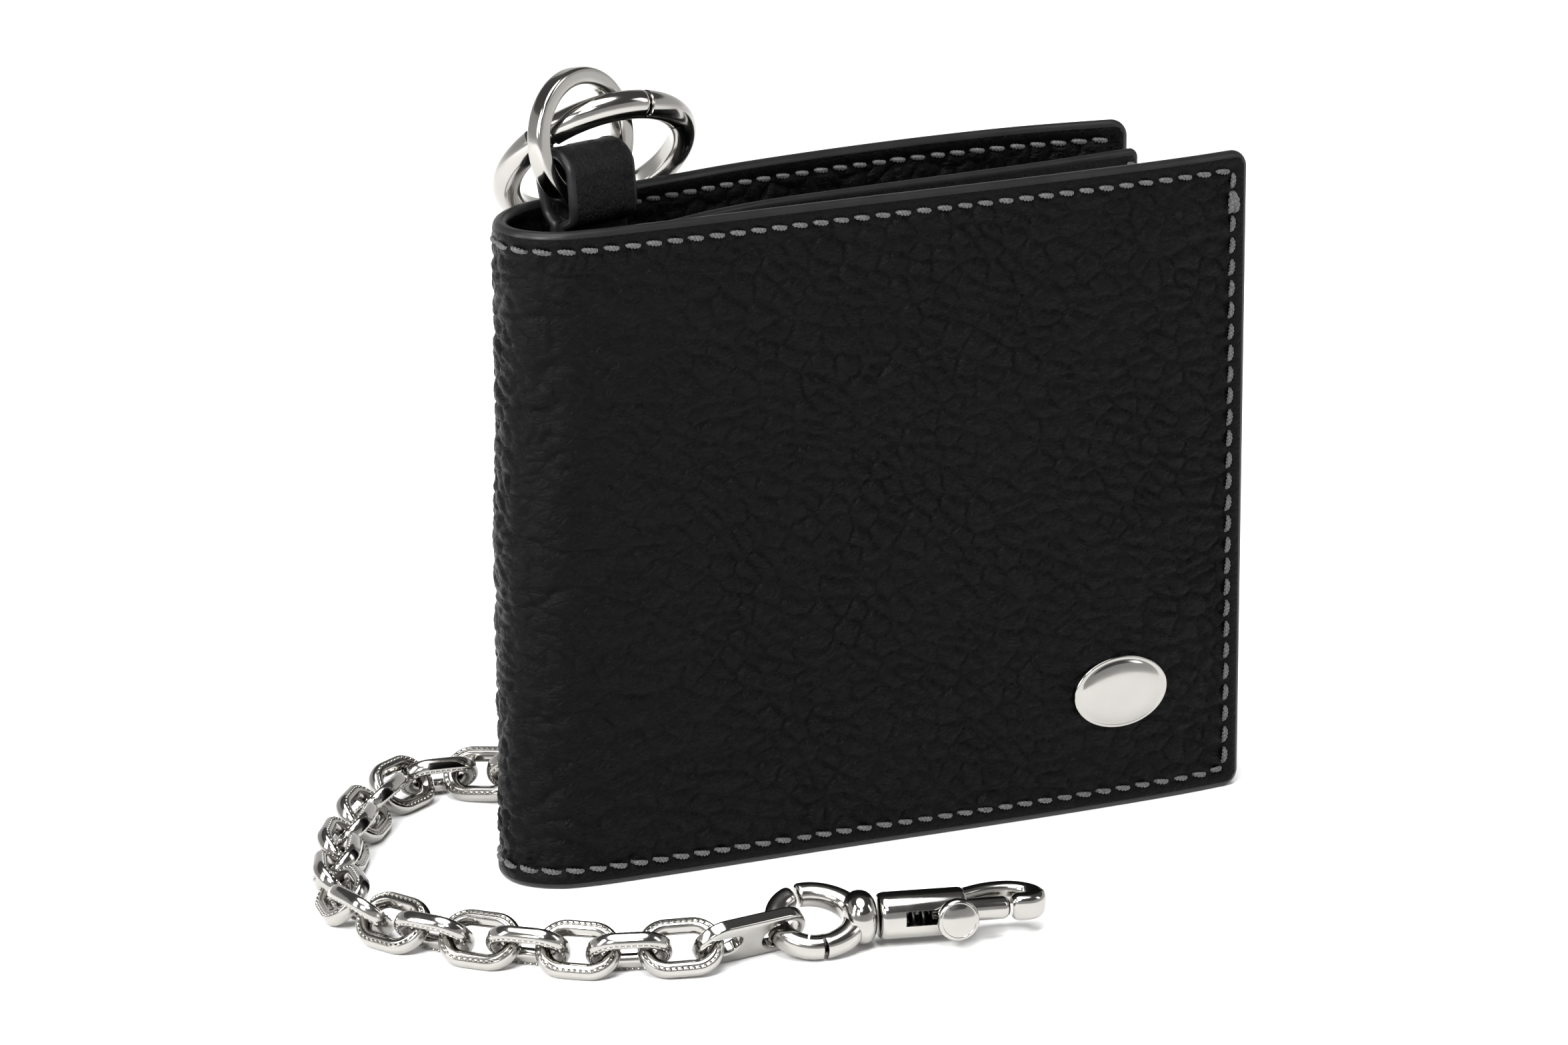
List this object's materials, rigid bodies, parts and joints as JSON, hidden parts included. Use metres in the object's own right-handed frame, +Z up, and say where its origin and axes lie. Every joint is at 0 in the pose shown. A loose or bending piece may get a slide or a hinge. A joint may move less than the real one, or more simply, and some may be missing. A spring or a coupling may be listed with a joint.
{
  "type": "chain wallet",
  "caption": "Bifold leather wallet standing slightly open on its edge, with a tab, an O-ring, a spring-gate ring, a link chain and a trigger clip.",
  "frame": {"origin": "middle of the back cover's bottom edge, half way through its leather", "axes": "+Z up, +X from the fold to the free edges, -Y out of the front cover"},
  "size_m": [0.1436, 0.0969, 0.1137],
  "materials": {
    "leather": "pebbled black leather with a soft sheen",
    "lining": "fine-grained black leather",
    "nickel": "polished nickel",
    "spring_steel": "plain spring wire"
  },
  "bodies": {
    "back_half": {"back_cover": "leather", "spine_cover": "leather", "back_liner": "lining", "back_card_pocket_1": "lining", "back_card_pocket_2": "lining", "back_card_pocket_3": "lining", "tab_strap": "leather"},
    "front_half": {"front_cover": "leather", "front_liner": "lining", "front_card_pocket_1": "lining", "front_card_pocket_2": "lining", "front_card_pocket_3": "lining", "emblem_plate": "nickel"},
    "o_ring": {"o_ring": "nickel"},
    "gate_ring": {"gate_ring": "nickel"},
    "gate_ring_gate": {"gate_ring_gate": "nickel"},
    "chain_connector_upper": {"chain_connector_upper": "nickel"},
    "chain_link_01": {"chain_link_01": "nickel"},
    "chain_link_02": {"chain_link_02": "nickel"},
    "chain_link_03": {"chain_link_03": "nickel"},
    "chain_link_04": {"chain_link_04": "nickel"},
    "chain_link_05": {"chain_link_05": "nickel"},
    "chain_link_06": {"chain_link_06": "nickel"},
    "chain_link_07": {"chain_link_07": "nickel"},
    "chain_link_08": {"chain_link_08": "nickel"},
    "chain_link_09": {"chain_link_09": "nickel"},
    "chain_link_10": {"chain_link_10": "nickel"},
    "chain_link_11": {"chain_link_11": "nickel"},
    "chain_link_12": {"chain_link_12": "nickel"},
    "chain_link_13": {"chain_link_13": "nickel"},
    "chain_link_14": {"chain_link_14": "nickel"},
    "chain_link_15": {"chain_link_15": "nickel"},
    "chain_link_16": {"chain_link_16": "nickel"},
    "chain_link_17": {"chain_link_17": "nickel"},
    "chain_link_18": {"chain_link_18": "nickel"},
    "chain_link_19": {"chain_link_19": "nickel"},
    "chain_link_20": {"chain_link_20": "nickel"},
    "chain_link_21": {"chain_link_21": "nickel"},
    "chain_link_22": {"chain_link_22": "nickel"},
    "chain_link_23": {"chain_link_23": "nickel"},
    "chain_link_24": {"chain_link_24": "nickel"},
    "chain_link_25": {"chain_link_25": "nickel"},
    "chain_link_26": {"chain_link_26": "nickel"},
    "chain_link_27": {"chain_link_27": "nickel"},
    "chain_link_28": {"chain_link_28": "nickel"},
    "chain_link_29": {"chain_link_29": "nickel"},
    "chain_connector_lower": {"chain_connector_lower": "nickel"},
    "clip_ring_gate": {"clip_ring_gate": "nickel"},
    "clip_ring": {"clip_ring": "nickel"},
    "clip_hook": {"clip_hook": "nickel", "clip_spring": "spring_steel"},
    "clip_plunger": {"clip_plunger": "nickel", "clip_thumb_knob": "nickel"}
  },
  "joints": [
    {"name": "fold", "type": "hinge", "parent": "back_half", "child": "front_half", "pos_m": [-0.05, -0.0256, 0], "axis": [0, 0, -1], "range_deg": [-3, 30]},
    {"name": "o_ring_swing", "type": "hinge", "parent": "back_half", "child": "o_ring", "pos_m": [-0.04353, -0.01196, 0.09549], "axis": [0.9135, 0.4067, 0], "range_deg": [-1, 13]},
    {"name": "gate_ring_swing", "type": "hinge", "parent": "o_ring", "child": "gate_ring", "pos_m": [-0.04148, -0.01091, 0.10756], "axis": [-0.9646, 0.1514, -0.2161], "range_deg": [-10, 0]},
    {"name": "gate_ring_open", "type": "hinge", "parent": "gate_ring", "child": "gate_ring_gate", "pos_m": [-0.04905, -0.00737, 0.10329], "axis": [0.035, -0.7384, -0.6734], "range_deg": [0, 18], "stiffness_Nm_per_rad": 0.02},
    {"name": "upper_connector_swing", "type": "hinge", "parent": "gate_ring", "child": "chain_connector_upper", "pos_m": [-0.03847, 0.00651, 0.08862], "axis": [0.9989, 0.0474, 0], "range_deg": [-2, 10]},
    {"name": "chain_link_01_yaw", "type": "hinge", "parent": "chain_connector_upper", "child": "chain_link_01", "pos_m": [-0.03847, 0.00651, 0.07671], "axis": [-0.6947, 0.7193, 0], "range_deg": [-14, 2]},
    {"name": "chain_link_02_pitch", "type": "hinge", "parent": "chain_link_01", "child": "chain_link_02", "pos_m": [-0.03847, 0.00651, 0.06966], "axis": [-0.7193, -0.6947, 0], "range_deg": [-12, 1]},
    {"name": "chain_link_03_yaw", "type": "hinge", "parent": "chain_link_02", "child": "chain_link_03", "pos_m": [-0.03847, 0.00651, 0.06261], "axis": [-0.6947, 0.7193, 0], "range_deg": [-14, 2]},
    {"name": "chain_link_04_pitch", "type": "hinge", "parent": "chain_link_03", "child": "chain_link_04", "pos_m": [-0.03847, 0.00651, 0.05556], "axis": [-0.7193, -0.6947, 0], "range_deg": [-12, 1]},
    {"name": "chain_link_05_yaw", "type": "hinge", "parent": "chain_link_04", "child": "chain_link_05", "pos_m": [-0.03847, 0.00651, 0.04852], "axis": [-0.6947, 0.7193, 0], "range_deg": [-14, 2]},
    {"name": "chain_link_06_pitch", "type": "hinge", "parent": "chain_link_05", "child": "chain_link_06", "pos_m": [-0.03847, 0.00651, 0.04147], "axis": [-0.7193, -0.6947, 0], "range_deg": [-12, 1]},
    {"name": "chain_link_07_yaw", "type": "hinge", "parent": "chain_link_06", "child": "chain_link_07", "pos_m": [-0.03847, 0.00651, 0.03442], "axis": [-0.6947, 0.7193, 0], "range_deg": [-14, 2]},
    {"name": "chain_link_08_pitch", "type": "hinge", "parent": "chain_link_07", "child": "chain_link_08", "pos_m": [-0.03847, 0.00651, 0.02737], "axis": [-0.7193, -0.6947, 0], "range_deg": [-12, 1]},
    {"name": "chain_link_09_yaw", "type": "hinge", "parent": "chain_link_08", "child": "chain_link_09", "pos_m": [-0.03839, 0.00643, 0.02032], "axis": [-0.6922, 0.7168, 0.0846], "range_deg": [-14, 2]},
    {"name": "chain_link_10_pitch", "type": "hinge", "parent": "chain_link_09", "child": "chain_link_10", "pos_m": [-0.0388, 0.00686, 0.01332], "axis": [-0.7193, -0.6947, 0], "range_deg": [-9, 1]},
    {"name": "chain_link_11_yaw", "type": "hinge", "parent": "chain_link_10", "child": "chain_link_11", "pos_m": [-0.04114, 0.00928, 0.00725], "axis": [-0.3247, 0.3454, 0.8805], "range_deg": [-9, 1]},
    {"name": "chain_link_12_pitch", "type": "hinge", "parent": "chain_link_11", "child": "chain_link_12", "pos_m": [-0.04533, 0.01373, 0.00396], "axis": [-0.6666, -0.7454, 0], "range_deg": [-9, 1]},
    {"name": "chain_link_13_yaw", "type": "hinge", "parent": "chain_link_12", "child": "chain_link_13", "pos_m": [-0.05054, 0.01839, 0.00337], "axis": [0.0119, -0.0011, 0.9999], "range_deg": [-9, 1]},
    {"name": "chain_link_14_pitch", "type": "hinge", "parent": "chain_link_13", "child": "chain_link_14", "pos_m": [-0.05726, 0.01901, 0.00345], "axis": [0.5183, -0.8552, 0], "range_deg": [-9, 1]},
    {"name": "chain_link_15_yaw", "type": "hinge", "parent": "chain_link_14", "child": "chain_link_15", "pos_m": [-0.06324, 0.01539, 0.00345], "axis": [0, 0, 1], "range_deg": [-14, 2]},
    {"name": "chain_link_16_pitch", "type": "hinge", "parent": "chain_link_15", "child": "chain_link_16", "pos_m": [-0.06811, 0.0103, 0.00345], "axis": [0.7783, -0.6279, 0], "range_deg": [-12, 1]},
    {"name": "chain_link_17_yaw", "type": "hinge", "parent": "chain_link_16", "child": "chain_link_17", "pos_m": [-0.07254, 0.00482, 0.00345], "axis": [0, 0, 1], "range_deg": [-14, 2]},
    {"name": "chain_link_18_pitch", "type": "hinge", "parent": "chain_link_17", "child": "chain_link_18", "pos_m": [-0.0766, -0.00094, 0.00345], "axis": [0.8523, -0.5231, 0], "range_deg": [-12, 1]},
    {"name": "chain_link_19_yaw", "type": "hinge", "parent": "chain_link_18", "child": "chain_link_19", "pos_m": [-0.08028, -0.00695, 0.00345], "axis": [0, 0, 1], "range_deg": [-14, 2]},
    {"name": "chain_link_20_pitch", "type": "hinge", "parent": "chain_link_19", "child": "chain_link_20", "pos_m": [-0.08352, -0.01321, 0.00345], "axis": [0.9302, -0.3669, 0], "range_deg": [-12, 1]},
    {"name": "chain_link_21_yaw", "type": "hinge", "parent": "chain_link_20", "child": "chain_link_21", "pos_m": [-0.08611, -0.01976, 0.00345], "axis": [0, 0, 1], "range_deg": [-14, 2]},
    {"name": "chain_link_22_pitch", "type": "hinge", "parent": "chain_link_21", "child": "chain_link_22", "pos_m": [-0.08747, -0.02666, 0.00345], "axis": [0.9896, 0.1442, 0], "range_deg": [-12, 1]},
    {"name": "chain_link_23_yaw", "type": "hinge", "parent": "chain_link_22", "child": "chain_link_23", "pos_m": [-0.08647, -0.03359, 0.00345], "axis": [0, 0, 1], "range_deg": [-14, 2]},
    {"name": "chain_link_24_pitch", "type": "hinge", "parent": "chain_link_23", "child": "chain_link_24", "pos_m": [-0.08357, -0.04, 0.00345], "axis": [0.8194, 0.5733, 0], "range_deg": [-12, 1]},
    {"name": "chain_link_25_yaw", "type": "hinge", "parent": "chain_link_24", "child": "chain_link_25", "pos_m": [-0.07954, -0.04577, 0.00345], "axis": [0, 0, 1], "range_deg": [-14, 2]},
    {"name": "chain_link_26_pitch", "type": "hinge", "parent": "chain_link_25", "child": "chain_link_26", "pos_m": [-0.07483, -0.05101, 0.00345], "axis": [0.676, 0.7369, 0], "range_deg": [-12, 1]},
    {"name": "chain_link_27_yaw", "type": "hinge", "parent": "chain_link_26", "child": "chain_link_27", "pos_m": [-0.06963, -0.05577, 0.00345], "axis": [0.0021, -0.0017, 1], "range_deg": [-14, 2]},
    {"name": "chain_link_28_pitch", "type": "hinge", "parent": "chain_link_27", "child": "chain_link_28", "pos_m": [-0.06415, -0.06018, 0.00343], "axis": [0.3757, 0.9268, 0], "range_deg": [-12, 1]},
    {"name": "chain_link_29_yaw", "type": "hinge", "parent": "chain_link_28", "child": "chain_link_29", "pos_m": [-0.05764, -0.06283, 0.00361], "axis": [-0.0306, 0.0097, 0.9995], "range_deg": [-14, 2]},
    {"name": "lower_connector_pitch", "type": "hinge", "parent": "chain_link_29", "child": "chain_connector_lower", "pos_m": [-0.05092, -0.06496, 0.00383], "axis": [0.3028, 0.9531, 0], "range_deg": [-4, 12]},
    {"name": "clip_ring_swing", "type": "hinge", "parent": "chain_connector_lower", "child": "clip_ring_gate", "pos_m": [-0.03919, -0.06324, 0.00383], "axis": [0.0101, -0.8892, -0.4574], "range_deg": [-10, 10]},
    {"name": "clip_ring_open", "type": "hinge", "parent": "clip_ring_gate", "child": "clip_ring", "pos_m": [-0.03497, -0.0591, 0.00651], "axis": [-0.1136, -0.4555, 0.8829], "range_deg": [0, 30]},
    {"name": "clip_swivel", "type": "hinge", "parent": "clip_ring", "child": "clip_hook", "pos_m": [-0.0253, -0.0657, 0.00435], "axis": [0.9703, -0.2419, 0], "continuous": true},
    {"name": "plunger_slide", "type": "slide", "parent": "clip_hook", "child": "clip_plunger", "axis": [-0.9703, 0.2419, 0], "range_m": [0, 0.0042], "stiffness_N_per_m": 150, "springref_m": -0.002, "deforming": ["clip_spring"]}
  ]
}
